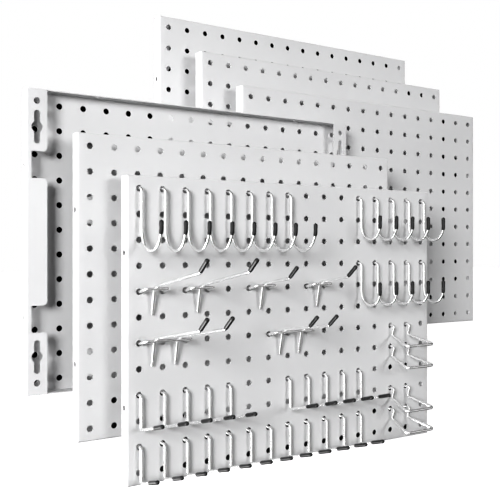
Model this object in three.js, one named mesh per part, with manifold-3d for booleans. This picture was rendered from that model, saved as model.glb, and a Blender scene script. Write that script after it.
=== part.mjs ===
// Pegboard tool wall: six pressed-steel pegboard panels in a staggered stack, one of them turned
// round, with fifty wire hooks on the front one. Millimetres. X runs across, Z runs up, the panels
// face -Y, and the wall is the plane Y = 0 behind the rear panel.
import * as THREE from 'three';
import { mergeVertices } from 'three/addons/utils/BufferGeometryUtils.js';
import Module from 'manifold-3d';

const wasm = await Module();
wasm.setup();

// Panel: a pan of sheet steel with a grid of peg holes
const PITCH = 25.4;
const COLUMNS = 16;
const ROWS = 12;
const WIDTH = COLUMNS * PITCH;
const HEIGHT = ROWS * PITCH;
const SHEET = 1;
const DEPTH = 16;
const PEG_HOLE_R = 3.49; // corner radius of the hexagon with the area of a 6.35 mm round hole

// Side return lips with their hanging tabs
const LIP = 5.2;
const TAB = 21;
const TAB_RADIUS = 4.5;
const CORNER_TAB = 62.2;
const MIDDLE_TAB = 127;
const SCREW_HOLE = { radius: 3.25, fromSide: 10.9, fromEnd: 12 };
const KEYHOLE = { fromSide: 10.9, fromEnd: 38, circle: 5.65, slot: 3, length: 33.4 };
const JOINING_HOLE = { radius: 2.5, fromCorner: 3 * PITCH };

// Where each panel's centre stands: across, up, and its face's distance out from the wall
const PANELS = [
  { name: 'front_panel', across: -52.1, up: -106.0, out: 163.1, holed: true },
  { name: 'second_panel', across: -91.5, up: -63.7, out: 133.3 },
  { name: 'turned_panel', across: -132.5, up: -18.9, out: 85.1, turned: true },
  { name: 'fourth_panel', across: 132.5, up: 19.7, out: 75.6 },
  { name: 'fifth_panel', across: 92.2, up: 61.4, out: 46.8 },
  { name: 'rear_panel', across: 51.1, up: 106.0, out: 16.0 },
];

// Hook wire, its vinyl caps, and the tail that curls up behind the board
const WIRE_R = 1.8;
const CAP_R = 2.5;
const WIRE_SIDES = 5;
const TAIL_BEND = 6;
const TAIL_RISE = 4;
const ELBOW = 3.5;

// Hook profiles, as distances out from the board's face and heights from the hole's centre
const LARGE_J = { leg: 5.5, reach: 51, bottom: -61.5, tip: -32.5, capFrom: -46 };
const SMALL_J = { leg: 5.6, reach: 38, bottom: -48.5, tip: -21, capFrom: -36.5 };
const LONG_L = { leg: 5, reach: 55, corner: -33.4, tip: -19.8, capFrom: 35 };
const SHORT_L = { leg: 5, reach: 44.5, corner: -34.8, tip: -23, capFrom: 22 };
const BAR = { out: 14.5, up: 3 };
const ARM = { footOut: 2.2, foot: -23, shoulderOut: 5.4, shoulder: 1.5, overBar: 5.3 };
const ARM_TIP = { run: 15, rise: 12.2 };
const LONG_ARM = { reach: 102, height: 20.8 };
const SHORT_ARM = { reach: 57, height: 12 };
const LOOP = { out: 7, neckOut: 4, neck: -10, barOut: 38.5, bar: -21, halfBar: 22, corner: 5 };

const steel = { color: 0xe8e8ea, roughness: 0.5, metalness: 0.1 };
const chrome = { color: 0xc8cacc, roughness: 0.15, metalness: 1 };

// A manifold solid from a three.js geometry
function solidOf(geometry) {
  const bare = geometry.index ? geometry.toNonIndexed() : geometry.clone();
  bare.deleteAttribute('normal');
  bare.deleteAttribute('uv');
  const merged = mergeVertices(bare, 1e-4);
  return new wasm.Manifold(new wasm.Mesh({
    numProp: 3,
    vertProperties: new Float32Array(merged.attributes.position.array),
    triVerts: new Uint32Array(merged.index.array),
  }));
}

function meshOf(name, solid, look) {
  const { vertProperties, triVerts } = solid.getMesh();
  const geometry = new THREE.BufferGeometry();
  geometry.setAttribute('position', new THREE.BufferAttribute(new Float32Array(vertProperties), 3));
  geometry.setIndex(new THREE.BufferAttribute(new Uint32Array(triVerts), 1));
  geometry.computeVertexNormals();
  const mesh = new THREE.Mesh(geometry, new THREE.MeshStandardMaterial(look));
  mesh.name = name;
  return mesh;
}

// A plate whose outline is drawn in X and Z, from y = back - thickness to y = back
function plate(shapes, back, thickness) {
  const geometry = new THREE.ExtrudeGeometry(shapes, {
    depth: thickness,
    bevelEnabled: false,
    curveSegments: 1,
  });
  return solidOf(geometry.rotateX(Math.PI / 2).translate(0, back, 0));
}

function block(width, depth, height, y) {
  return solidOf(new THREE.BoxGeometry(width, depth, height).translate(0, y, 0));
}

// A hexagon standing for a round hole, as a closed list of points
function hexagon(x, y, radius) {
  const corners = [];
  for (let i = 0; i < 6; i += 1) {
    const turn = (i + 0.5) * Math.PI / 3;
    corners.push(new THREE.Vector2(x + radius * Math.cos(turn), y + radius * Math.sin(turn)));
  }
  return corners;
}

// A keyhole with a slot above and below its circle
function keyhole(x, z) {
  const { circle, slot, length } = KEYHOLE;
  const reach = length / 2 - slot;
  const open = Math.asin(slot / circle);
  const path = new THREE.Path();
  path.absarc(x, z + reach, slot, Math.PI, 0, true);
  path.absarc(x, z, circle, Math.PI / 2 - open, open - Math.PI / 2, true);
  path.absarc(x, z - reach, slot, 0, -Math.PI, true);
  path.absarc(x, z, circle, -Math.PI / 2 - open, -3 * Math.PI / 2 + open, true);
  path.closePath();
  return path;
}

// The right-hand return lip: a narrow strip with two corner tabs and a plain middle tab
function lipShape() {
  const edge = WIDTH / 2;
  const end = HEIGHT / 2;
  const lip = edge - LIP;
  const tab = edge - TAB;
  const r = TAB_RADIUS;
  const gapLow = end - CORNER_TAB;
  const shape = new THREE.Shape();
  shape.moveTo(edge, -end);
  shape.lineTo(edge, end);
  shape.lineTo(tab, end);
  shape.absarc(tab + r, gapLow + r, r, Math.PI, 1.5 * Math.PI, false);
  shape.lineTo(lip, gapLow);
  shape.lineTo(lip, MIDDLE_TAB / 2);
  shape.absarc(tab + r, MIDDLE_TAB / 2 - r, r, Math.PI / 2, Math.PI, false);
  shape.absarc(tab + r, r - MIDDLE_TAB / 2, r, Math.PI, 1.5 * Math.PI, false);
  shape.lineTo(lip, -MIDDLE_TAB / 2);
  shape.lineTo(lip, -gapLow);
  shape.absarc(tab + r, -gapLow - r, r, Math.PI / 2, Math.PI, false);
  shape.lineTo(tab, -end);
  shape.closePath();
  for (const side of [1, -1]) {
    shape.holes.push(keyhole(edge - KEYHOLE.fromSide, side * (end - KEYHOLE.fromEnd)));
    const z = side * (end - SCREW_HOLE.fromEnd);
    const round = hexagon(edge - SCREW_HOLE.fromSide, z, SCREW_HOLE.radius);
    shape.holes.push(new THREE.Path().setFromPoints(round));
  }
  return shape;
}

const columnX = (column) => (column - (COLUMNS + 1) / 2) * PITCH;
const rowZ = (row) => ((ROWS + 1) / 2 - row) * PITCH;

function pegHoles() {
  const holes = [];
  for (let row = 1; row <= ROWS; row += 1) {
    for (let column = 1; column <= COLUMNS; column += 1) {
      holes.push(new THREE.Shape(hexagon(columnX(column), rowZ(row), PEG_HOLE_R)));
    }
  }
  return plate(holes, 2 * SHEET, 3 * SHEET);
}

// Rods that cut the joining holes through the top and bottom, and the left and right, flanges
function joiningRods() {
  const rods = [];
  const { radius, fromCorner } = JOINING_HOLE;
  for (const side of [1, -1]) {
    const across = new THREE.ExtrudeGeometry(
      new THREE.Shape(hexagon(0, 0, radius)), { depth: 2 * WIDTH, bevelEnabled: false });
    const upright = across.clone();
    across.rotateY(Math.PI / 2).translate(-WIDTH, DEPTH / 2, side * (HEIGHT / 2 - fromCorner));
    upright.translate(side * (WIDTH / 2 - fromCorner), DEPTH / 2, -WIDTH);
    rods.push(solidOf(across), solidOf(upright));
  }
  return rods;
}

// One panel, centred on its face, which looks along -Y
function panelSolid(holed) {
  const inner = block(WIDTH - 2 * SHEET, DEPTH, HEIGHT - 2 * SHEET, SHEET + DEPTH / 2);
  let pan = block(WIDTH, DEPTH, HEIGHT, DEPTH / 2).subtract(inner);
  const lip = plate(lipShape(), DEPTH, SHEET);
  pan = pan.add(lip).add(lip.rotate([0, 0, 180]).translate([0, 2 * DEPTH - SHEET, 0]));
  for (const rod of joiningRods()) pan = pan.subtract(rod);
  return holed ? pan.subtract(pegHoles()) : pan;
}

// A route through stations given as [x, out, up] from a hole's centre, with mitred corners
class WireRoute extends THREE.Curve {
  constructor(stations) {
    super();
    this.stations = stations.map(([x, out, up]) => new THREE.Vector3(x, -out, up));
  }

  getPoint(t) {
    const along = t * (this.stations.length - 1);
    const first = Math.min(Math.floor(along), this.stations.length - 2);
    return this.stations[first].clone().lerp(this.stations[first + 1], along - first);
  }

  getTangent(t) {
    const at = Math.round(t * (this.stations.length - 1));
    const last = this.stations.length - 1;
    const tangent = new THREE.Vector3();
    if (at > 0) tangent.add(this.stations[at].clone().sub(this.stations[at - 1]).normalize());
    if (at < last) tangent.add(this.stations[at + 1].clone().sub(this.stations[at]).normalize());
    return tangent.normalize();
  }

  getUtoTmapping(u) {
    return u;
  }
}

function wire(stations, radius = WIRE_R) {
  const section = [];
  for (let i = 0; i < WIRE_SIDES; i += 1) {
    const turn = i * 2 * Math.PI / WIRE_SIDES;
    section.push(new THREE.Vector2(radius * Math.cos(turn), radius * Math.sin(turn)));
  }
  return solidOf(new THREE.ExtrudeGeometry(new THREE.Shape(section), {
    steps: stations.length - 1,
    extrudePath: new WireRoute(stations),
  }));
}

// The tail: straight up behind the board, then an arc through the hole about the lifting axis
function tail(x) {
  const stations = [[x, -TAIL_BEND, TAIL_BEND + TAIL_RISE]];
  for (const degrees of [90, 45, 15]) {
    const turn = degrees * Math.PI / 180;
    stations.push([x, -TAIL_BEND * Math.sin(turn), TAIL_BEND * (1 - Math.cos(turn))]);
  }
  return stations;
}

// The tail, and the elbow that turns it down into a leg this far from the board
function hanger(leg) {
  const round = ELBOW * Math.SQRT1_2;
  return [
    ...tail(0),
    [0, leg - ELBOW, 0],
    [0, leg - ELBOW + round, round - ELBOW],
    [0, leg, -ELBOW],
  ];
}

function jHook({ leg, reach, bottom, tip, capFrom }) {
  const radius = (reach - leg) / 2;
  const middle = (reach + leg) / 2;
  const centre = bottom + radius;
  const bend = (degrees) => {
    const turn = degrees * Math.PI / 180;
    return [0, middle + radius * Math.cos(turn), centre + radius * Math.sin(turn)];
  };
  const capTurn = Math.asin((capFrom - centre) / radius) * 180 / Math.PI;
  const stations = hanger(leg);
  for (let degrees = -180; degrees < capTurn; degrees += 30) stations.push(bend(degrees));
  const cap = [bend(capTurn), bend(0), [0, reach, tip]];
  stations.push(bend(capTurn / 2));
  return wire(stations).add(wire(cap, CAP_R));
}

function lHook({ leg, reach, corner, tip, capFrom }) {
  const slope = (tip - corner) / (reach - leg);
  const arm = (out) => [0, out, corner + slope * (out - leg)];
  const capEnd = [arm(capFrom), arm(reach)];
  const stations = [...hanger(leg), [0, leg, corner + ELBOW], arm(leg + ELBOW), arm(reach - 1)];
  return wire(stations).add(wire(capEnd, CAP_R));
}

// A staple through two holes, with a welded arm in the middle of each pitch that it spans
function stapleHook(pitches, { reach, height }) {
  const span = pitches * PITCH;
  const prong = tail(0);
  const far = tail(span).reverse();
  const { out, up } = BAR;
  const near = [[0, out - ELBOW, up - 0.5], [ELBOW, out, up]];
  const opposite = [[span - ELBOW, out, up], [span, out - ELBOW, up - 0.5]];
  let hook = wire([...prong, ...near, ...opposite, ...far]);
  for (let pitch = 0; pitch < pitches; pitch += 1) {
    const x = (pitch + 0.5) * PITCH;
    const arm = [
      [x, ARM.footOut, ARM.foot],
      [x, ARM.shoulderOut, ARM.shoulder],
      [x, ARM.shoulderOut + ELBOW, ARM.overBar - 0.5],
      [x, out, ARM.overBar],
      [x, reach, height],
      [x, reach + 2, height + 1.6],
    ];
    const cap = [[x, reach, height], [x, reach + ARM_TIP.run, height + ARM_TIP.rise]];
    hook = hook.add(wire(arm)).add(wire(cap, CAP_R));
  }
  return hook;
}

// A wire loop from two neighbouring holes, spreading to a straight bar in front
function wireLoop() {
  const { out, neckOut, neck, barOut, bar, halfBar, corner } = LOOP;
  const half = [
    ...tail(0),
    [0, out - 2, 0],
    [0, out, -2.5],
    [0, neckOut, neck],
    [PITCH / 2 - halfBar + 1.3, barOut - corner, bar + 1.6],
    [PITCH / 2 - halfBar + corner, barOut, bar],
  ];
  const mirrored = half.map(([x, y, z]) => [PITCH - x, y, z]).reverse();
  return wire([...half, ...mirrored]);
}

// Every hook: a name, the column and row of its left hole, and its solid
function hookList() {
  const hooks = [];
  const addRow = (name, columns, row, solid, first = 1) => {
    columns.forEach((column, i) => hooks.push({ name: `${name}_${first + i}`, column, row, solid }));
  };
  const largeJ = jHook(LARGE_J);
  const smallJ = jHook(SMALL_J);
  const right = [12, 13, 14, 15, 16];
  addRow('large_j_hook', [1, 2, 3, 4, 5, 6, 7, 8], 1, largeJ);
  addRow('upper_small_j_hook', right, 1, smallJ);
  addRow('lower_small_j_hook', right, 4, smallJ);
  addRow('long_plier_hook', [1, 3], 5, stapleHook(1, LONG_ARM));
  addRow('short_plier_hook', [6, 9], 5, stapleHook(1, SHORT_ARM));
  addRow('long_double_hook', [1], 7, stapleHook(2, LONG_ARM));
  addRow('short_double_hook', [7], 7, stapleHook(2, SHORT_ARM));
  addRow('long_l_hook', [1, 2, 3, 4, 5, 8, 9, 10, 11, 12], 9, lHook(LONG_L));
  addRow('short_l_hook', [1, 2, 3, 4, 5, 6, 7, 8, 9, 10, 11, 12], 11, lHook(SHORT_L));
  const loop = wireLoop();
  [7, 8, 10, 11].forEach((row, i) => addRow('wire_loop', [14], row, loop, i + 1));
  return hooks;
}

function panelGroup({ name, across, up, out, turned, holed }) {
  const group = new THREE.Group();
  group.position.set(across, -out, up);
  if (turned) group.rotation.z = Math.PI;
  group.add(meshOf(name, panelSolid(holed), steel));
  return group;
}

const wall = new THREE.Group();
const panels = PANELS.map(panelGroup);
wall.add(...panels);
for (const { name, column, row, solid } of hookList()) {
  const hook = meshOf(name, solid, chrome);
  hook.position.set(columnX(column), 0, rowZ(row));
  panels[0].add(hook);
}

export default wall;
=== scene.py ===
"""Looks for the pegboard tool wall: holed steel panels, plated wire hooks and dipped vinyl caps.

Shapes are written in millimetres, in the frame of one panel or one hook, and placed in metres by
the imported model's own boxes. A panel's X runs across it, its Y back from the holed face and its Z up.
"""
import math

import bmesh
import bpy
from mathutils import Euler, Matrix, Vector


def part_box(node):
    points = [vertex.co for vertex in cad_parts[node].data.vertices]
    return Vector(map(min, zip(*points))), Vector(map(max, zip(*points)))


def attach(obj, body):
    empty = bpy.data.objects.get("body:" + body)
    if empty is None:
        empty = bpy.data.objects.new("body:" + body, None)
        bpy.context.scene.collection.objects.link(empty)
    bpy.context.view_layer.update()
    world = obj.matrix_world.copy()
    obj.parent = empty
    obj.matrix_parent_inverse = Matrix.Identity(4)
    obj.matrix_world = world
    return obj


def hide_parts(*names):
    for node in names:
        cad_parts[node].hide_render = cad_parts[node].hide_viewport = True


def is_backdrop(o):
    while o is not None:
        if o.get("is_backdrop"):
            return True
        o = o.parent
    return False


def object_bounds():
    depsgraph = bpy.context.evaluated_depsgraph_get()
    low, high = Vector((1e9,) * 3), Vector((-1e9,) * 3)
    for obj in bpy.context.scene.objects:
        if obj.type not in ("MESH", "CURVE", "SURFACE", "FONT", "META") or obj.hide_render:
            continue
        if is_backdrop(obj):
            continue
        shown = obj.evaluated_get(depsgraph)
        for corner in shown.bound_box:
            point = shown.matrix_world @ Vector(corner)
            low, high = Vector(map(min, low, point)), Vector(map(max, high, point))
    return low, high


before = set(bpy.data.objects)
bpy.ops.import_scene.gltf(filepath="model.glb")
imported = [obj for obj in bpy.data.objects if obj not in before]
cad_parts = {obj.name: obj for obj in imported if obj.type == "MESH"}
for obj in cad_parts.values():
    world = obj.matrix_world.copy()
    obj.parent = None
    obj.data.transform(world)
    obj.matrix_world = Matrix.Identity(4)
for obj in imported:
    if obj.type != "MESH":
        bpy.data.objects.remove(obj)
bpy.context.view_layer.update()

MM = 0.001

# Panel: sizes in millimetres, and numbers of points and steps
COLUMNS = 16
ROWS = 12
PANELS = ["front_panel", "second_panel", "turned_panel", "fourth_panel", "fifth_panel", "rear_panel"]
TURNED = "turned_panel"
FRONT_LOW, FRONT_HIGH = (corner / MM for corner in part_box("front_panel"))
# The outside of one panel
WIDTH = FRONT_HIGH.x - FRONT_LOW.x
HEIGHT = FRONT_HIGH.z - FRONT_LOW.z
DEPTH = FRONT_HIGH.y - FRONT_LOW.y
PITCH = WIDTH / COLUMNS
# The sheet's thickness, and the outside radius of its bends
SHEET = 1.0
BEND = 2.0
PEG_HOLE_R = 3.175
HOLE_POINTS = 24
BEND_STEPS = 5
# The top and bottom flanges stop this far short of the side flanges and their lips
LONG_FLANGE_GAP = 1.2 * SHEET
# How far the side lips reach in between the tabs and at the tabs, and the tabs' corners and lengths
LIP = 5.2
TAB = 21.0
TAB_RADIUS = 4.5
CORNER_TAB = 62.2
MIDDLE_TAB = 127.0
SCREW_HOLE_R = 3.25
JOINING_HOLE_R = 2.5
JOINING_FROM_END = 3 * PITCH
KEY_FROM_SIDE = 10.9
KEY_FROM_END = 38.0
KEY_CIRCLE_R = 5.65
KEY_SLOT_R = 3.0
KEY_LENGTH = 33.4
KEY_SLOT_STEPS = 12
KEY_CIRCLE_STEPS = 10
TAB_STEPS = 6
SCREW_FROM_END = 12.0
# How far a punch reaches to each side of the sheet that it cuts, and over a tab's edge
PUNCH = 3.0
OVERCUT = 2.0
PANEL_SHARP = 35

# Hook wire, in millimetres, and angles in degrees
WIRE_R = 1.55
WIRE_SIDES = 16
WIRE_DOME = 0.7
WIRE_SHARP = 50
DOME_TURNS = (78, 55, 30, 0)
DEGREES_PER_STEP = 12
# The least bend that is rounded, in radians, and the distance within which two points are one
STRAIGHT = 0.02
SAME_PLACE = 0.02
TAIL_BEND = 6.0
TAIL_RISE = 4.0
ELBOW = 3.5
L_CORNER = 2.6

# Staple hooks: places as (out, up), the radius of each bend, and the tip's way from the arm's end
BAR_ROOT, BAR_ROOT_BEND = (1.5, 0), 4
BAR_FRONT, BAR_FRONT_BEND = (14.5, 3.0), 3
ARM_FOOT = (2.3, -23)
ARM_TOP, ARM_TOP_BEND = (8.2, 4.5), 4.5
ARM_END_BEND = 2.2
TIP_OUT, TIP_UP = 15, 12.2
# The shares of the tip where the cap starts and the wire ends inside it
TIP_CAP_FROM = 0.08
TIP_WIRE_TO = 0.93
WELD_UP = 4.3
WELD_SIZE = (2.1, 2.0, 1.1)
WELD_RIPPLE = 0.07

# Wire loop: the corners of its left half, as ((across, out, up), bend radius)
LOOP_CORNERS = [((0, 7, 0), 2.2), ((0, 3, -12), 2), ((PITCH / 2 - 22, 38.5, -21), 4.5)]

# Dipped caps: radius, step along the cap, how far the wire stops short of its end, and steps round a U
CAP_R = 2.1
CAP_STEP = 1.2
CAP_END = 1.2
CAP_BEND_STEPS = 4
# How much thinner the coat starts, and the length over which it fills out
CAP_THIN, CAP_FILL = 0.42, 0.9
# Height, middle and width of the ridge behind that, and of the drip, which is placed from the far end
CAP_RIDGE = (0.1, 1.4, 0.8)
CAP_DRIP = (0.1, 3.2, 2.2)
# What the round end's radius has added, and its least radius
CAP_TIP_EXTRA = 0.02
CAP_TIP_R = 0.25


# ---------------------------------------------------------------- mesh helpers

def mesh_object(name, mesh, place=(0, 0, 0)):
    piece = bpy.data.objects.new(name, mesh)
    bpy.context.scene.collection.objects.link(piece)
    piece.location = place
    return piece


def shade_smooth(mesh, sharp):
    """Smooth shading, except across edges that turn by more than sharp, in degrees."""
    mesh.polygons.foreach_set("use_smooth", [True] * len(mesh.polygons))
    mesh.set_sharp_from_angle(angle=math.radians(sharp))


def mesh_from(name, vertices, faces, sharp=PANEL_SHARP):
    """A mesh in metres from millimetre vertices, with its faces turned the same way."""
    mesh = bpy.data.meshes.new(name)
    mesh.from_pydata([Vector(v) * MM for v in vertices], [], faces)
    mesh.validate()
    work = bmesh.new()
    work.from_mesh(mesh)
    bmesh.ops.recalc_face_normals(work, faces=work.faces)
    work.to_mesh(mesh)
    work.free()
    shade_smooth(mesh, sharp)
    return mesh


def apply_modifiers(piece):
    """The piece's mesh with its modifiers applied; the piece itself is removed."""
    bpy.context.view_layer.update()
    evaluated = piece.evaluated_get(bpy.context.evaluated_depsgraph_get())
    mesh = bpy.data.meshes.new_from_object(evaluated)
    bpy.data.objects.remove(piece)
    return mesh


# ---------------------------------------------------------------- panels

class Skin:
    """Faces, and vertices that are shared where they fall on one place."""

    def __init__(self):
        self.vertices = []
        self.faces = []
        self.known = {}

    def at(self, x, y, z):
        key = (round(x, 3), round(y, 3), round(z, 3))
        if key not in self.known:
            self.known[key] = len(self.vertices)
            self.vertices.append((x, y, z))
        return self.known[key]


def cell_lines(count, length):
    """The lines between hole cells along one side of the flat face."""
    lines = [(i - count / 2) * PITCH for i in range(count + 1)]
    lines[0] = BEND - length / 2
    lines[-1] = length / 2 - BEND
    return lines


def side_steps():
    """How far along a cell's side the spokes from its hole land, from 0 to 1."""
    per_side = HOLE_POINTS // 4
    turns = [math.radians(-45 + 90 * i / per_side) for i in range(per_side + 1)]
    return [(math.tan(turn) + 1) / 2 for turn in turns]


def add_cell(skin, left, right, low, high, x, z):
    """One square of the face, with its round hole."""
    steps = side_steps()[:-1]
    rim = [(right, low + (high - low) * s) for s in steps]
    rim += [(right + (left - right) * s, high) for s in steps]
    rim += [(left, high + (low - high) * s) for s in steps]
    rim += [(left + (right - left) * s, low) for s in steps]
    count = len(rim)
    for i in range(count):
        j = (i + 1) % count
        turns = [math.radians(-45) + 2 * math.pi * k / count for k in (i, i + 1)]
        hole = [(x + PEG_HOLE_R * math.cos(t), z + PEG_HOLE_R * math.sin(t)) for t in turns]
        ring = [rim[i], rim[j], hole[1], hole[0]]
        skin.faces.append([skin.at(px, 0, pz) for px, pz in ring])


def edge_stations(lines):
    """Every vertex place along one edge of the flat face."""
    places = []
    for low, high in zip(lines, lines[1:]):
        places += [low + (high - low) * s for s in side_steps()[:-1]]
    return places + [lines[-1]]


def flange_profile(edge, depth, lip):
    """(outward place, depth, share of the bend done) down a flange, and round its return lip."""
    profile = []
    for i in range(BEND_STEPS + 1):
        turn = math.pi / 2 * i / BEND_STEPS
        profile.append((edge - BEND + BEND * math.sin(turn), BEND - BEND * math.cos(turn), math.sin(turn)))
    profile.append((edge, depth / 2, 1))
    if lip == 0:
        profile.append((edge, depth, 1))
        return profile
    for i in range(BEND_STEPS + 1):
        turn = math.pi / 2 * i / BEND_STEPS
        profile.append((edge - BEND + BEND * math.cos(turn), depth - BEND + BEND * math.sin(turn), 1))
    profile.append((edge - lip, depth, 1))
    return profile


def add_flange(skin, stations, profile, end, place):
    """A bent strip along one edge; place turns (along, outward, depth) into a point."""
    flat_end = stations[-1]
    rows = []
    for outward, depth, bent in profile:
        stretch = 1 + (end - flat_end) * bent / flat_end
        rows.append([skin.at(*place(s * stretch, outward, depth)) for s in stations])
    for near, far in zip(rows, rows[1:]):
        for i in range(len(stations) - 1):
            skin.faces.append([near[i], near[i + 1], far[i + 1], far[i]])


def panel_skin():
    """The outer skin of a panel: the holed face, four flanges, and two return lips as wide as the tabs."""
    skin = Skin()
    columns = cell_lines(COLUMNS, WIDTH)
    rows = cell_lines(ROWS, HEIGHT)
    for i in range(COLUMNS):
        for j in range(ROWS):
            x = (i + 0.5 - COLUMNS / 2) * PITCH
            z = (j + 0.5 - ROWS / 2) * PITCH
            add_cell(skin, columns[i], columns[i + 1], rows[j], rows[j + 1], x, z)
    long_end = WIDTH / 2 - LONG_FLANGE_GAP
    long_profile = flange_profile(HEIGHT / 2, DEPTH - LONG_FLANGE_GAP, 0)
    side_profile = flange_profile(WIDTH / 2, DEPTH, TAB)
    along = edge_stations(columns)
    upright = edge_stations(rows)
    for side in (1, -1):
        add_flange(skin, along, long_profile, long_end, lambda s, out, d: (s, d, side * out))
        add_flange(skin, upright, side_profile, HEIGHT / 2, lambda s, out, d: (side * out, d, s))
    return skin


def prism(outline, low, high, turn=None):
    """A closed prism on an outline in X and Z, from y = low to y = high, as (vertices, faces)."""
    count = len(outline)
    vertices = [Vector((x, low, z)) for x, z in outline] + [Vector((x, high, z)) for x, z in outline]
    if turn:
        vertices = [turn @ v for v in vertices]
    faces = [list(range(count)), list(range(2 * count - 1, count - 1, -1))]
    faces += [[i, count + i, count + (i + 1) % count, (i + 1) % count] for i in range(count)]
    return vertices, faces


def arc(x, z, radius, start, end, steps):
    """Points round part of a circle, from one angle to another in degrees."""
    turns = [math.radians(start + (end - start) * i / steps) for i in range(steps + 1)]
    return [(x + radius * math.cos(t), z + radius * math.sin(t)) for t in turns]


def circle(x, z, radius):
    return arc(x, z, radius, 0, 360, HOLE_POINTS)[:-1]


def keyhole(x, z):
    """A round middle with a narrower slot above and below it."""
    reach = KEY_LENGTH / 2 - KEY_SLOT_R
    mouth = math.degrees(math.asin(KEY_SLOT_R / KEY_CIRCLE_R))
    outline = arc(x, z + reach, KEY_SLOT_R, 0, 180, KEY_SLOT_STEPS)
    outline += arc(x, z, KEY_CIRCLE_R, 90 + mouth, 270 - mouth, KEY_CIRCLE_STEPS)
    outline += arc(x, z - reach, KEY_SLOT_R, 180, 360, KEY_SLOT_STEPS)
    outline += arc(x, z, KEY_CIRCLE_R, mouth - 90, 90 - mouth, KEY_CIRCLE_STEPS)
    return outline


def tab_gap(side, level):
    """The opening between a corner tab and the middle tab, with the tabs' round corners."""
    inner = WIDTH / 2 - TAB
    lip = WIDTH / 2 - LIP
    top = HEIGHT / 2 - CORNER_TAB
    low = MIDDLE_TAB / 2
    r = TAB_RADIUS
    outline = [(lip, top), (lip, low)]
    outline += arc(inner + r, low - r, r, 90, 180, TAB_STEPS)
    outline += [(inner - OVERCUT, low - r), (inner - OVERCUT, top + r)]
    outline += arc(inner + r, top + r, r, 180, 270, TAB_STEPS)
    return [(side * x, level * z) for x, z in outline]


def panel_cutters():
    """Everything that is punched out of the flanges and lips, as one set of closed solids."""
    solids = []
    back = (DEPTH - PUNCH, DEPTH + PUNCH)
    for side in (1, -1):
        for level in (1, -1):
            x = side * (WIDTH / 2 - KEY_FROM_SIDE)
            solids.append(prism(keyhole(x, level * (HEIGHT / 2 - KEY_FROM_END)), *back))
            solids.append(prism(circle(x, level * (HEIGHT / 2 - SCREW_FROM_END), SCREW_HOLE_R), *back))
            solids.append(prism(tab_gap(side, level), *back))
    across = Matrix.Rotation(math.radians(90), 3, "Z")
    upright = Matrix.Rotation(math.radians(90), 3, "X")
    for side in (-1, 1):
        for shift in (1, -1):
            hole = circle(DEPTH / 2, shift * (HEIGHT / 2 - JOINING_FROM_END), JOINING_HOLE_R)
            flange = side * WIDTH / 2
            solids.append(prism(hole, flange - PUNCH, flange + PUNCH, across))
            hole = circle(shift * (WIDTH / 2 - JOINING_FROM_END), -DEPTH / 2, JOINING_HOLE_R)
            flange = side * HEIGHT / 2
            solids.append(prism(hole, flange - PUNCH, flange + PUNCH, upright))
    vertices, faces = [], []
    for points, sides in solids:
        faces += [[i + len(vertices) for i in side] for side in sides]
        vertices += points
    return vertices, faces


def panel_mesh():
    """One panel: its skin thickened to sheet, and then punched."""
    skin = panel_skin()
    sheet = mesh_object("sheet", mesh_from("sheet", skin.vertices, skin.faces))
    point_outward(sheet.data)
    thick = sheet.modifiers.new("thickness", "SOLIDIFY")
    thick.thickness = SHEET * MM
    thick.offset = -1
    thick.use_even_offset = True
    sheet = mesh_object("sheet", apply_modifiers(sheet))
    cutter = mesh_object("cutter", mesh_from("cutter", *panel_cutters()))
    cut = sheet.modifiers.new("punch", "BOOLEAN")
    cut.operation = "DIFFERENCE"
    cut.solver = "EXACT"
    cut.object = cutter
    mesh = apply_modifiers(sheet)
    bpy.data.objects.remove(cutter)
    mesh.name = "panel"
    shade_smooth(mesh, PANEL_SHARP)
    return mesh


def point_outward(mesh):
    """Turns the skin's normals away from the panel's inside, so that its thickness goes inward."""
    work = bmesh.new()
    work.from_mesh(mesh)
    face = min(work.faces, key=lambda f: f.calc_center_median().y)
    if face.normal.y > 0:
        bmesh.ops.reverse_faces(work, faces=work.faces)
    work.to_mesh(mesh)
    work.free()


def add_panels(material):
    """The six panels, all with one mesh; the turned one shows its back."""
    mesh = panel_mesh()
    mesh.materials.clear()
    mesh.materials.append(material)
    for name in PANELS:
        low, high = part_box(name)
        middle = (low + high) / 2
        turned = name == TURNED
        piece = mesh_object(name + "_sheet", mesh, (middle.x, high.y if turned else low.y, middle.z))
        if turned:
            piece.rotation_euler = Euler((0, 0, math.pi))
        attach(piece, name)
        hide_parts(name)
        add_hole_shade_film(name, piece)


def add_hole_shade_film(name, piece):
    """A clear stage film inside the holed face; world and floor are painted dark when seen through it, a
    painted shade in the holes as if a shaded wall stood behind.
    """
    x, z = WIDTH / 2 - 2 * SHEET, HEIGHT / 2 - 2 * SHEET
    corners = [(-x, SHEET / 2, -z), (x, SHEET / 2, -z), (x, SHEET / 2, z), (-x, SHEET / 2, z)]
    film = mesh_object(name + "_film", mesh_from("film", corners, [[0, 1, 2, 3]]))
    film.data.materials.append(clear_film())
    film.visible_diffuse = False
    film.visible_glossy = False
    film.visible_shadow = False
    film.parent = piece
    film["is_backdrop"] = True


def clear_film():
    material = bpy.data.materials.new("clear_film")
    material.use_nodes = True
    nodes = material.node_tree.nodes
    clear = nodes.new("ShaderNodeBsdfTransparent")
    material.node_tree.links.new(clear.outputs["BSDF"], nodes["Material Output"].inputs["Surface"])
    return material


# ---------------------------------------------------------------- wire

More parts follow.
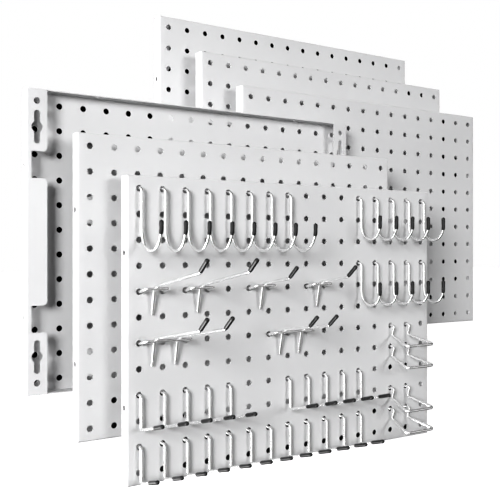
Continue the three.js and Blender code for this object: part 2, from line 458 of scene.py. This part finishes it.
def rounded(corners):
    """A path through (point, radius) corners, each rounded to its radius, with no point doubled."""
    path = [Vector(corners[0][0])]
    for (before, _), (corner, radius), (after, _) in zip(corners, corners[1:], corners[2:]):
        corner = Vector(corner)
        back = (Vector(before) - corner).normalized()
        on = (Vector(after) - corner).normalized()
        bend = math.pi - back.angle(on)
        if radius == 0 or bend < STRAIGHT:
            path.append(corner)
            continue
        reach = radius * math.tan(bend / 2)
        centre = corner + (back + on).normalized() * radius / math.cos(bend / 2)
        first = corner + back * reach - centre
        axis = first.cross(corner + on * reach - centre).normalized()
        steps = max(2, round(math.degrees(bend) / DEGREES_PER_STEP))
        for i in range(steps + 1):
            path.append(centre + Matrix.Rotation(bend * i / steps, 3, axis) @ first)
    path.append(Vector(corners[-1][0]))
    return [path[0]] + [b for a, b in zip(path, path[1:]) if (b - a).length > SAME_PLACE]


def sweep(path, radii):
    """A closed round bar along a path, with a radius at each point, as (vertices, faces)."""
    count, sides = len(path), WIRE_SIDES
    directions = []
    for i in range(count):
        step = path[min(i + 1, count - 1)] - path[i]
        last = path[i] - path[max(i - 1, 0)]
        directions.append((step.normalized() + last.normalized()).normalized())
    side = directions[0].orthogonal().normalized()
    vertices, faces = [], []
    for i, (point, direction, radius) in enumerate(zip(path, directions, radii)):
        if i:
            side = (directions[i - 1].rotation_difference(direction) @ side).normalized()
        other = direction.cross(side)
        for k in range(sides):
            turn = 2 * math.pi * k / sides
            vertices.append(point + (side * math.cos(turn) + other * math.sin(turn)) * radius)
    for i in range(count - 1):
        for k in range(sides):
            n = (k + 1) % sides
            faces.append([i * sides + k, i * sides + n, (i + 1) * sides + n, (i + 1) * sides + k])
    faces.append(list(range(sides))[::-1])
    faces.append([(count - 1) * sides + k for k in range(sides)])
    return vertices, faces


def round_end(outer, inner):
    """(point, radius) rings that round off a wire's end, from its tip inward."""
    direction = (outer - inner).normalized()
    rings = []
    for degrees in DOME_TURNS:
        turn = math.radians(degrees)
        point = outer - direction * WIRE_DOME * (1 - math.sin(turn))
        rings.append((point, WIRE_R - WIRE_DOME * (1 - math.cos(turn))))
    return rings


def wire(corners):
    """A bent wire through (point, radius) corners, with its two ends rounded off."""
    path = rounded(corners)
    head = round_end(path[0], path[1])
    foot = round_end(path[-1], path[-2])[::-1]
    rings = head + [(point, WIRE_R) for point in path[1:-1]] + foot
    return sweep([point for point, _ in rings], [radius for _, radius in rings])


def fused(parts):
    """The parts, each closed, as one closed skin."""
    pieces = [mesh_object("part", mesh_from("part", *part)) for part in parts]
    for other in pieces[1:]:
        join = pieces[0].modifiers.new("join", "BOOLEAN")
        join.operation = "UNION"
        join.solver = "EXACT"
        join.object = other
    mesh = apply_modifiers(pieces[0])
    for other in pieces[1:]:
        bpy.data.objects.remove(other)
    return [v.co / MM for v in mesh.vertices], [list(face.vertices) for face in mesh.polygons]


def at(x, out, up):
    """A point from its distances across, out from the board and up from the hole's centre."""
    return Vector((x, -out, up))


def tail():
    """The end behind the board: down from above the hole, then round into it."""
    return [(at(0, -TAIL_BEND, TAIL_BEND + TAIL_RISE), 0), (at(0, -TAIL_BEND, 0), TAIL_BEND)]


def hanger(leg):
    """From the tail out through the hole to the elbow above a leg."""
    return tail() + [(at(0, leg, 0), ELBOW)]


def bridge(corners, width):
    """A wire from one hole to another a width away, from the corners of its left half."""
    left = tail() + corners
    right = [(Vector((width - point.x, point.y, point.z)), radius) for point, radius in left]
    return wire(left + right[::-1])


def hump(place, height, middle, width):
    return height * math.exp(-((place - middle) / width) ** 2)


def cap(corners):
    """A dipped cap: a thin start, a ridge, a body with a slight drip, and a round end."""
    path = rounded(corners)
    dense = [path[0]]
    for low, high in zip(path, path[1:]):
        steps = max(1, round((high - low).length / CAP_STEP))
        dense += [low.lerp(high, i / steps) for i in range(1, steps + 1)]
    length = sum((b - a).length for a, b in zip(dense, dense[1:]))
    rings, gone = [], 0.0
    for i, point in enumerate(dense):
        if i:
            gone += (point - dense[i - 1]).length
        left = length - gone
        body = CAP_R - CAP_THIN * math.exp(-gone / CAP_FILL)
        body += hump(gone, *CAP_RIDGE)
        body += hump(left, *CAP_DRIP)
        if left < body:
            body = math.sqrt(max(body * body - (body - left) ** 2, 0.0)) + CAP_TIP_EXTRA
        rings.append((point, max(body, CAP_TIP_R)))
    return sweep([point for point, _ in rings], [radius for _, radius in rings])


def weld(x, out, up):
    """A small resistance-weld bead where two wires cross."""
    work = bmesh.new()
    bmesh.ops.create_icosphere(work, subdivisions=3, radius=1)
    for v in work.verts:
        ripple = 1 + WELD_RIPPLE * math.sin(7 * v.co.x + 3 * v.co.z) * math.cos(5 * v.co.y)
        v.co = Vector([c * half for c, half in zip(v.co, WELD_SIZE)]) * ripple + at(x, out, up)
    work.verts.index_update()
    vertices = [v.co.copy() for v in work.verts]
    faces = [[v.index for v in f.verts] for f in work.faces]
    work.free()
    return vertices, faces


def j_hook(leg, reach, bottom, tip, cap_from):
    """Down a leg, round a U and up to the tip; the cap starts at a height on the U's far side."""
    radius = (reach - leg) / 2
    foot = [(at(0, leg, bottom), radius), (at(0, reach, bottom), radius)]
    centre = bottom + radius
    start = math.degrees(math.asin((cap_from - centre) / radius))
    bend = [at(0, (reach + leg) / 2 + x, centre + z) for x, z in arc(0, 0, radius, start, 0, CAP_BEND_STEPS)]
    metal = wire(hanger(leg) + foot + [(at(0, reach, tip - CAP_END), 0)])
    return metal, [cap([(point, 0) for point in bend] + [(at(0, reach, tip), 0)])]


def l_hook(leg, reach, corner, tip, cap_from):
    """Down a leg to the corner, and out to the tip; the cap starts at a distance from the board."""
    slope = (tip - corner) / (reach - leg)

    def arm(out):
        return at(0, out, corner + slope * (out - leg))

    metal = wire(hanger(leg) + [(at(0, leg, corner), L_CORNER), (arm(reach - CAP_END), 0)])
    return metal, [cap([(arm(cap_from), 0), (arm(reach), 0)])]


def staple_hook(pitches, reach, height):
    """A bar between two holes, with an arm welded to it over each pitch; arms bend up at (reach, height)."""
    bar = [(at(0, *BAR_ROOT), BAR_ROOT_BEND), (at(0, *BAR_FRONT), BAR_FRONT_BEND)]
    parts = [bridge(bar, pitches * PITCH)]
    caps = []
    for pitch in range(pitches):
        x = (pitch + 0.5) * PITCH
        end = at(x, reach, height)
        tip = at(x, reach + TIP_OUT, height + TIP_UP)
        wire_to = end.lerp(tip, TIP_WIRE_TO)
        top = at(x, *ARM_TOP)
        parts.append(wire([(at(x, *ARM_FOOT), 0), (top, ARM_TOP_BEND), (end, ARM_END_BEND), (wire_to, 0)]))
        parts.append(weld(x, BAR_FRONT[0], WELD_UP))
        caps.append(cap([(end.lerp(tip, TIP_CAP_FROM), 0), (tip, 0)]))
    return fused(parts), caps


def wire_loop():
    return bridge([(at(*place), radius) for place, radius in LOOP_CORNERS], PITCH)


# Kind, the columns and the row of each one's left hole, and the shape as (metal, caps)
HOOKS = [
    ("large_j_hook", range(1, 9), 1, j_hook(6.2, 51, -61.5, -32.5, -46)),
    ("upper_small_j_hook", range(12, 17), 1, j_hook(5.6, 38, -48.5, -21, -36.5)),
    ("lower_small_j_hook", range(12, 17), 4, j_hook(5.6, 38, -48.5, -21, -36.5)),
    ("long_plier_hook", (1, 3), 5, staple_hook(1, 102, 20.8)),
    ("short_plier_hook", (6, 9), 5, staple_hook(1, 57, 12)),
    ("long_double_hook", (1,), 7, staple_hook(2, 102, 20.8)),
    ("short_double_hook", (7,), 7, staple_hook(2, 57, 12)),
    ("long_l_hook", (1, 2, 3, 4, 5, 8, 9, 10, 11, 12), 9, l_hook(5, 55, -33.4, -19.8, 36)),
    ("short_l_hook", range(1, 13), 11, l_hook(5, 44.5, -34.8, -23, 24.3)),
]
LOOP_ROWS = (7, 8, 10, 11)
LOOP_COLUMN = 14


def hole_place(column, row):
    """The centre of a peg hole in the front panel's face, in metres."""
    low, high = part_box("front_panel")
    return Vector((low.x + (column - 0.5) * PITCH * MM, low.y, high.z - (row - 0.5) * PITCH * MM))


def add_hook(node, metal, caps, place):
    """One hook: its metal stands for the CAD solid, and its caps ride with it."""
    body = mesh_object(node + "_wire", metal, place)
    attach(body, node)
    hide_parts(node)
    for i, mesh in enumerate(caps):
        piece = mesh_object(f"{node}_cap_{i + 1}", mesh, place)
        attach(piece, node)


def shaded(name, shape, material):
    mesh = mesh_from(name, *shape, sharp=WIRE_SHARP)
    mesh.materials.append(material)
    return mesh


def add_hooks(plating, vinyl):
    for kind, columns, row, (metal, caps) in HOOKS:
        metal_mesh = shaded(kind, metal, plating)
        cap_meshes = [shaded(kind + "_cap", shape, vinyl) for shape in caps]
        for i, column in enumerate(columns):
            add_hook(f"{kind}_{i + 1}", metal_mesh, cap_meshes, hole_place(column, row))
    loop = shaded("wire_loop", wire_loop(), plating)
    for i, row in enumerate(LOOP_ROWS):
        add_hook(f"wire_loop_{i + 1}", loop, [], hole_place(LOOP_COLUMN, row))


# ---------------------------------------------------------------- materials

def new_material(name):
    material = bpy.data.materials.new(name)
    material.use_nodes = True
    nodes = material.node_tree.nodes
    return material, nodes, material.node_tree.links, nodes["Principled BSDF"]


def noise(nodes, links, scale, detail=3.0, stretch=None):
    """Noise in the piece's own metres, stretched along its axes if asked."""
    place = nodes.new("ShaderNodeTexCoord")
    texture = nodes.new("ShaderNodeTexNoise")
    texture.inputs["Scale"].default_value = scale
    texture.inputs["Detail"].default_value = detail
    if stretch:
        mapping = nodes.new("ShaderNodeMapping")
        mapping.inputs["Scale"].default_value = stretch
        links.new(place.outputs["Object"], mapping.inputs["Vector"])
        links.new(mapping.outputs["Vector"], texture.inputs["Vector"])
    else:
        links.new(place.outputs["Object"], texture.inputs["Vector"])
    return texture.outputs["Fac"]


def ramp(nodes, links, factor, stops):
    """A colour that runs between two (position, colour) stops."""
    node = nodes.new("ShaderNodeValToRGB")
    links.new(factor, node.inputs["Fac"])
    low, high = node.color_ramp.elements
    low.position, low.color = stops[0]
    high.position, high.color = stops[1]
    return node.outputs["Color"]


def grey(value, tint=0.0):
    return (value, value, value + tint, 1)


def spread(nodes, links, factor, low, high):
    """A factor from 0 to 1 spread over a range."""
    node = nodes.new("ShaderNodeMapRange")
    links.new(factor, node.inputs["Value"])
    node.inputs["To Min"].default_value = low
    node.inputs["To Max"].default_value = high
    return node.outputs["Result"]


def bump(nodes, links, height, strength, distance):
    node = nodes.new("ShaderNodeBump")
    node.inputs["Strength"].default_value = strength
    node.inputs["Distance"].default_value = distance
    links.new(height, node.inputs["Height"])
    return node.outputs["Normal"]


def powder_coat():
    """White powder coat: faint cloudiness, orange peel and a soft sheen."""
    material, nodes, links, shader = new_material("powder_coat")
    cloud = noise(nodes, links, scale=9.0, detail=4.0)
    colour = ramp(nodes, links, cloud, [(0.3, grey(0.60, 0.004)), (0.7, grey(0.63, 0.004))])
    links.new(colour, shader.inputs["Base Color"])
    shader.inputs["Specular IOR Level"].default_value = 0.35
    links.new(spread(nodes, links, noise(nodes, links, scale=60.0), 0.42, 0.56), shader.inputs["Roughness"])
    peel = noise(nodes, links, scale=750.0, detail=2.0)
    links.new(bump(nodes, links, peel, strength=0.25, distance=0.00008), shader.inputs["Normal"])
    return material


def bright_plating():
    """Bright plated wire with faint drawing lines and uneven polish."""
    material, nodes, links, shader = new_material("chrome_wire")
    shader.inputs["Metallic"].default_value = 0.82
    cloud = noise(nodes, links, scale=120.0)
    colour = ramp(nodes, links, cloud, [(0.3, grey(0.86)), (0.7, grey(0.93))])
    links.new(colour, shader.inputs["Base Color"])
    links.new(spread(nodes, links, noise(nodes, links, scale=200.0), 0.2, 0.28), shader.inputs["Roughness"])
    lines = noise(nodes, links, scale=500.0, detail=1.0, stretch=(1.0, 1.0, 0.1))
    links.new(bump(nodes, links, lines, strength=0.1, distance=0.000008), shader.inputs["Normal"])
    return material


def dipped_vinyl():
    """Glossy black vinyl with the slight waviness of a dipped coat."""
    material, nodes, links, shader = new_material("vinyl_cap")
    cloud = noise(nodes, links, scale=250.0)
    colour = ramp(nodes, links, cloud, [(0.3, grey(0.006)), (0.75, grey(0.016, 0.001))])
    links.new(colour, shader.inputs["Base Color"])
    shader.inputs["Specular IOR Level"].default_value = 0.55
    links.new(spread(nodes, links, noise(nodes, links, scale=400.0), 0.08, 0.14), shader.inputs["Roughness"])
    wave = noise(nodes, links, scale=200.0, detail=1.0)
    links.new(bump(nodes, links, wave, strength=0.15, distance=0.0001), shader.inputs["Normal"])
    return material


# ---------------------------------------------------------------- stage, lights, camera

# The floor's width, and how far it lies below the object, in metres
FLOOR_SIZE = 80.0
FLOOR_DROP = 1.0
# The floor's grey where it is seen through a film: painted shade in the panels' holes
PAINTED_HOLE_SHADE = 0.02
# The world's light, which is dim: its strength at the front and at the back, and the cosines off the
# front between which it changes
LIT_FRONT, LIT_BACK = 0.02, 0.05
LIT_CHANGE = (-0.2, 0.2)
# The studio in reflections: dark, with bright patches
GLOSS_DARK = 0.04
# The way to each patch, the cosines off that way where it starts and where it is full, and its strength
PATCHES = [
    ((-0.78, -0.6, 0.2), (0.35, 0.85), 2.0),
    ((-0.72, 0.55, -0.35), (0.7, 0.88), 3.5),
    ((-0.65, 0.16, -0.75), (0.93, 0.97), 10.0),
    ((0.68, -0.72, 0.05), (0.88, 0.96), 0.9),
]
# Name, azimuth and elevation in degrees, distance and size in metres, and power in watts
LIGHTS = [
    ("key_left", -52, 12, 3.0, 0.95, 106),
    ("fill_right", 16, 8, 2.5, 0.75, 30),
    ("side_left", -91, 4, 2.6, 0.9, 46),
    ("side_right", 96, 20, 2.8, 0.9, 34),
    ("back_left", -150, 22, 3.2, 1.2, 58),
    ("back_right", 150, 12, 3.2, 1.2, 36),
    ("top_back", 180, 68, 3.0, 1.0, 32),
    ("low_back", 180, -58, 1.2, 0.8, 7),
]
# The camera's place in metres, from the front panel's left front edge in X and Y and from its middle
# in Z, then its turn in degrees, and its sensor and lens in millimetres
CAMERA_FROM_EDGE = (-0.2801, -0.6718)
CAMERA_UP = 0.0790
CAMERA_TURN = -32.086
CAMERA_SENSOR = 36.0
CAMERA_LENS = 53.18
VIEW_GAMMA = 0.75


def add_floor():
    """A white floor well below the object, which is painted dark when seen through a film: painted shade in
    the panels' holes.
    """
    low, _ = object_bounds()
    half = FLOOR_SIZE / 2 / MM
    corners = [(-half, -half, 0), (half, -half, 0), (half, half, 0), (-half, half, 0)]
    floor = mesh_object("floor", mesh_from("floor", corners, [[0, 1, 2, 3]]), (0, 0, low[2] - FLOOR_DROP))
    material, nodes, links, shader = new_material("floor")
    shader.inputs["Base Color"].default_value = grey(0.9)
    shader.inputs["Roughness"].default_value = 1.0
    shader.inputs["Emission Color"].default_value = grey(1)
    shader.inputs["Emission Strength"].default_value = 1.0
    # Painted shade: seen through a panel's holes, the floor is painted near black instead of white
    painted_shade = nodes.new("ShaderNodeBsdfDiffuse")
    painted_shade.inputs["Color"].default_value = grey(PAINTED_HOLE_SHADE)
    mix = nodes.new("ShaderNodeMixShader")
    links.new(open_view(nodes, links, nodes.new("ShaderNodeLightPath")), mix.inputs["Fac"])
    links.new(painted_shade.outputs["BSDF"], mix.inputs[1])
    links.new(shader.outputs["BSDF"], mix.inputs[2])
    links.new(mix.outputs["Shader"], nodes["Material Output"].inputs["Surface"])
    floor.data.materials.append(material)
    floor.visible_diffuse = False
    floor.visible_glossy = False
    floor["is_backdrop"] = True


def area_light(aim, name, azimuth, elevation, distance, size, power):
    """A square soft light that looks at aim; azimuth 0 is in front, negative to the left."""
    turn, rise = math.radians(azimuth), math.radians(elevation)
    way = Vector((math.sin(turn) * math.cos(rise), -math.cos(turn) * math.cos(rise), math.sin(rise)))
    data = bpy.data.lights.new(name, "AREA")
    data.shape = "SQUARE"
    data.size = size
    data.energy = power
    light = bpy.data.objects.new(name, data)
    bpy.context.scene.collection.objects.link(light)
    light.location = aim + way * distance
    light.rotation_euler = (-way).to_track_quat("-Z", "Y").to_euler()
    light.visible_glossy = False
    light.visible_camera = False


def add_lights():
    low, high = (Vector(corner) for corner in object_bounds())
    aim = (low + high) / 2
    for light in LIGHTS:
        area_light(aim, *light)


def add_world():
    """The studio: dim as a light, dark with bright patches in reflections, and white to the camera.

    Seen through a film, as in the panels' holes, it is painted black: painted shade in the holes.
    """
    world = bpy.data.worlds.new("studio")
    bpy.context.scene.world = world
    world.use_nodes = True
    nodes, links = world.node_tree.nodes, world.node_tree.links
    background = nodes["Background"]
    background.inputs["Color"].default_value = grey(1)
    way = nodes.new("ShaderNodeTexCoord").outputs["Generated"]
    lit = toward(nodes, links, way, (0, -1, 0), LIT_CHANGE, (LIT_BACK, LIT_FRONT))
    gloss = GLOSS_DARK
    for side, place, strength in PATCHES:
        total = nodes.new("ShaderNodeMath")
        feed(links, gloss, total.inputs[0])
        feed(links, toward(nodes, links, way, side, place, (0.0, strength)), total.inputs[1])
        gloss = total.outputs["Value"]
    path = nodes.new("ShaderNodeLightPath")
    shiny = choose(nodes, links, path.outputs["Is Glossy Ray"], lit, gloss)
    # Painted shade: through a film the world is painted black, so the holes read dark
    seen = choose(nodes, links, path.outputs["Is Camera Ray"], shiny, open_view(nodes, links, path))
    links.new(seen, background.inputs["Strength"])


def feed(links, value, socket):
    """Sets a socket from a number or links it to another node's output."""
    if isinstance(value, float):
        socket.default_value = value
    else:
        links.new(value, socket)


def toward(nodes, links, way, side, place, values):
    """Runs from one value to the other as the cosine between way and side runs over place."""
    dot = nodes.new("ShaderNodeVectorMath")
    dot.operation = "DOT_PRODUCT"
    links.new(way, dot.inputs[0])
    dot.inputs[1].default_value = Vector(side).normalized()
    run = nodes.new("ShaderNodeMapRange")
    links.new(dot.outputs["Value"], run.inputs["Value"])
    run.inputs["From Min"].default_value, run.inputs["From Max"].default_value = place
    run.inputs["To Min"].default_value, run.inputs["To Max"].default_value = values
    return run.outputs["Result"]


def open_view(nodes, links, path):
    """1 for what is seen directly, and 0 for what is seen through a film, where world and floor get painted
    shade.
    """
    count = nodes.new("ShaderNodeMath")
    count.operation = "LESS_THAN"
    links.new(path.outputs["Transparent Depth"], count.inputs[0])
    count.inputs[1].default_value = 0.5
    return count.outputs["Value"]


def choose(nodes, links, factor, low, high):
    """The value low where factor is 0 and high where it is 1; each is a socket or a number."""
    mix = nodes.new("ShaderNodeMix")
    links.new(factor, mix.inputs["Factor"])
    feed(links, low, mix.inputs["A"])
    feed(links, high, mix.inputs["B"])
    return mix.outputs["Result"]


def add_camera():
    """A level view from the left, 32 degrees off the panels' normal."""
    low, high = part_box("front_panel")
    data = bpy.data.cameras.new("camera")
    data.sensor_width = CAMERA_SENSOR
    data.lens = CAMERA_LENS
    data.clip_start = 0.01
    camera = bpy.data.objects.new("camera", data)
    bpy.context.scene.collection.objects.link(camera)
    x, y = CAMERA_FROM_EDGE
    camera.location = (low.x + x, low.y + y, (low.z + high.z) / 2 + CAMERA_UP)
    camera.rotation_euler = Euler((math.radians(90), 0, math.radians(CAMERA_TURN)))
    bpy.context.scene.camera = camera


add_camera()
add_panels(powder_coat())
add_hooks(bright_plating(), dipped_vinyl())
add_floor()
add_lights()
add_world()
bpy.context.scene.view_settings.view_transform = "Standard"
bpy.context.scene.view_settings.gamma = VIEW_GAMMA
